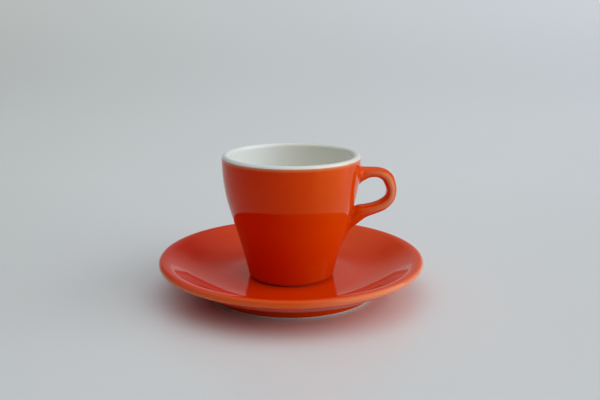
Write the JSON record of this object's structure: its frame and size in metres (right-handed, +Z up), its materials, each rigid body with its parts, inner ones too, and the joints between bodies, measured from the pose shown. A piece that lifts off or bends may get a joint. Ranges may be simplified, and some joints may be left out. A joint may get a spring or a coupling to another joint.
{
  "type": "espresso cup with saucer",
  "caption": "Small tapered porcelain cup with an ear handle, orange outside and white inside, standing loose in the well of a dished orange saucer.",
  "frame": {"origin": "centre of the saucer's foot ring, on the table", "axes": "+Z up along the common axis of cup and saucer, +X from the axis towards the handle"},
  "size_m": [0.125, 0.125, 0.0654],
  "materials": {
    "bare_porcelain": "matt, unglazed",
    "white_glaze": "glossy white glaze",
    "orange_glaze": "glossy deep orange glaze"
  },
  "bodies": {
    "saucer": {"saucer_body": "bare_porcelain", "saucer_glaze": "orange_glaze"},
    "cup": {"cup_body": "bare_porcelain", "cup_liner_glaze": "white_glaze", "cup_outer_glaze": "orange_glaze", "cup_handle": "orange_glaze"}
  },
  "joints": [
    {"name": "cup_lift", "type": "slide", "parent": "saucer", "child": "cup", "axis": [0, 0, 1], "range_m": [0, 0.08]}
  ]
}
